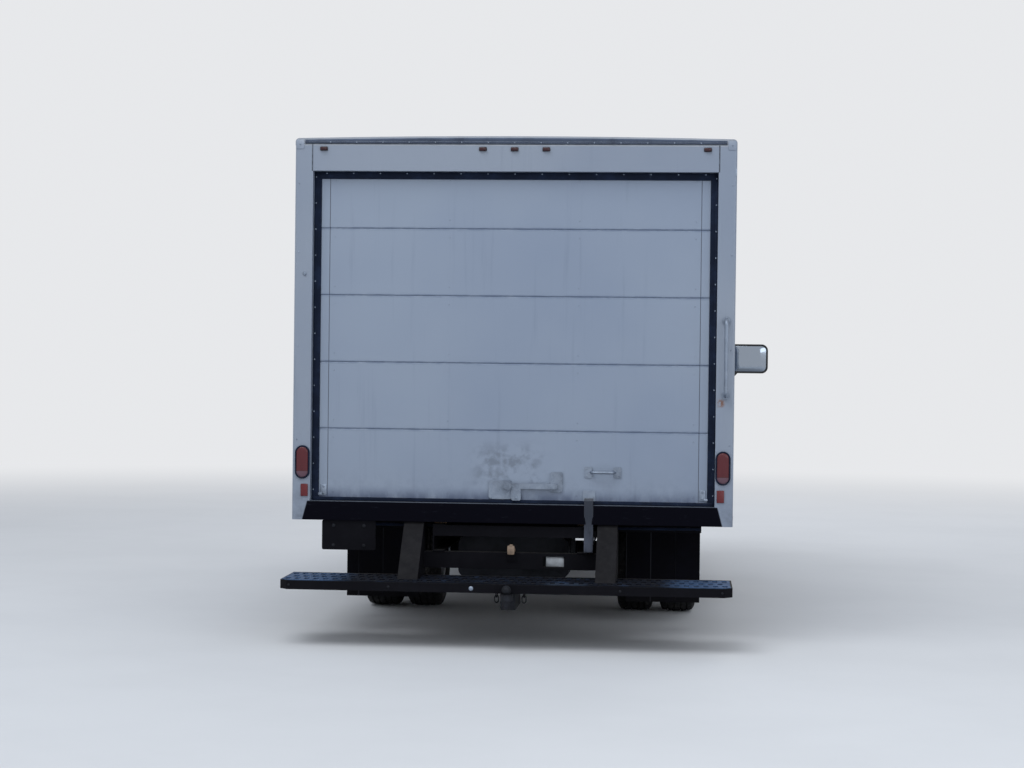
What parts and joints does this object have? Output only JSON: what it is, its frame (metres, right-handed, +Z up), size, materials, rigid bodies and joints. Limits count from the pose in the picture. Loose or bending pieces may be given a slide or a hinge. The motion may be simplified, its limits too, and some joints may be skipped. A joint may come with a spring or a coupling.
{
  "type": "box truck",
  "caption": "Light box truck with a cutaway cab, twin rear wheels, a flat-sided load box with a roll-up rear door and a low step bumper with a tow ball.",
  "frame": {"origin": "on the ground under the middle of the bounding box", "axes": "+X to the vehicle's right, +Y forward, +Z up"},
  "size_m": [3.16, 6.4599, 2.785],
  "materials": {
    "body_paint": "satin, dusty white",
    "frame_paint": "satin, worn white",
    "roof_aluminium": "dull",
    "chassis_black": "satin black",
    "cast_iron": "rough",
    "bare_steel": "dull zinc",
    "rim_paint": "satin",
    "tyre": "matte",
    "rubber": "matte",
    "deck_wood": "worn laminated board",
    "red_lens": "glossy",
    "clear_lens": "glossy",
    "glass": "clear",
    "trim_plastic": "grained",
    "bumper_chrome": "bright",
    "seat_fabric": "woven",
    "webbing": "woven strap"
  },
  "bodies": {
    "root": {"frame_ladder": "chassis_black", "rear_axle": "chassis_black", "front_axle": "chassis_black", "engine_block": "cast_iron", "drive_shaft": "bare_steel", "fuel_tank": "bare_steel", "exhaust": "bare_steel", "box_floor": "deck_wood", "box_wall_left": "body_paint", "box_wall_right": "body_paint", "box_front_wall": "body_paint", "box_roof": "roof_aluminium", "rear_frame": "frame_paint", "door_sections": "body_paint", "door_seals": "rubber", "door_latch": "bare_steel", "door_handle": "bare_steel", "strap_clip": "bare_steel", "pull_strap": "webbing", "grab_bar": "bare_steel", "rear_lamps": "red_lens", "plate_bracket": "chassis_black", "step_bumper": "chassis_black", "tow_hitch": "bare_steel", "mudflaps": "rubber", "cab_shell": "body_paint", "windscreen": "glass", "front_fenders": "body_paint", "headlamps": "clear_lens", "grille": "trim_plastic", "radiator": "roof_aluminium", "front_bumper": "bumper_chrome", "cab_seats": "seat_fabric", "dashboard": "trim_plastic"},
    "knuckle_left": {"knuckle_left": "cast_iron"},
    "knuckle_right": {"knuckle_right": "cast_iron"},
    "tie_rod": {"tie_rod": "chassis_black"},
    "wheel_front_left": {"front_tyre_left": "tyre", "front_rim_left": "rim_paint"},
    "wheel_front_right": {"front_tyre_right": "tyre", "front_rim_right": "rim_paint"},
    "wheels_rear_left": {"rear_tyres_left": "tyre", "rear_rims_left": "rim_paint"},
    "wheels_rear_right": {"rear_tyres_right": "tyre", "rear_rims_right": "rim_paint"},
    "cab_door_left": {"cab_door_left": "body_paint", "door_glass_left": "glass", "mirror_left": "trim_plastic"},
    "cab_door_right": {"cab_door_right": "body_paint", "door_glass_right": "glass", "mirror_right": "trim_plastic"},
    "hood": {"hood": "body_paint"},
    "steering_wheel": {"steering_wheel": "trim_plastic"}
  },
  "joints": [
    {"name": "steer_left", "type": "hinge", "parent": "root", "child": "knuckle_left", "pos_m": [-0.735, 2.4372, 0.372], "axis": [0, 0, 1], "range_deg": [-33, 33]},
    {"name": "steer_right", "type": "hinge", "parent": "root", "child": "knuckle_right", "pos_m": [0.735, 2.4372, 0.372], "axis": [0, 0, 1], "range_deg": [-33, 33]},
    {"name": "tie_rod_swing", "type": "hinge", "parent": "knuckle_left", "child": "tie_rod", "pos_m": [-0.735, 2.2722, 0.275], "axis": [0, 0, 1], "range_deg": [-33, 33]},
    {"name": "steering_column", "type": "hinge", "parent": "root", "child": "steering_wheel", "pos_m": [-0.43, 1.7522, 1.245], "axis": [0, -0.8192, 0.5736], "range_deg": [-528, 528]},
    {"name": "spin_front_left", "type": "hinge", "parent": "knuckle_left", "child": "wheel_front_left", "pos_m": [-0.86, 2.4372, 0.372], "axis": [1, 0, 0], "continuous": true},
    {"name": "spin_front_right", "type": "hinge", "parent": "knuckle_right", "child": "wheel_front_right", "pos_m": [0.86, 2.4372, 0.372], "axis": [1, 0, 0], "continuous": true},
    {"name": "spin_rear_left", "type": "hinge", "parent": "root", "child": "wheels_rear_left", "pos_m": [-0.788, -1.0938, 0.372], "axis": [1, 0, 0], "continuous": true},
    {"name": "spin_rear_right", "type": "hinge", "parent": "root", "child": "wheels_rear_right", "pos_m": [0.788, -1.0938, 0.372], "axis": [1, 0, 0], "continuous": true},
    {"name": "door_left_swing", "type": "hinge", "parent": "root", "child": "cab_door_left", "pos_m": [-1.012, 1.97145, 0.64], "axis": [0, 0, -1], "range_deg": [0, 65]},
    {"name": "door_right_swing", "type": "hinge", "parent": "root", "child": "cab_door_right", "pos_m": [1.012, 1.97145, 0.64], "axis": [0, 0, 1], "range_deg": [0, 65]},
    {"name": "hood_lift", "type": "hinge", "parent": "root", "child": "hood", "pos_m": [0, 2.3902, 1.35718], "axis": [1, 0, 0], "range_deg": [0, 50]}
  ],
  "couplings": [
    {"joint": "steer_right", "follows": "steer_left", "ratio": 1},
    {"joint": "tie_rod_swing", "follows": "steer_left", "ratio": -1},
    {"joint": "steering_column", "follows": "steer_left", "ratio": 16}
  ]
}
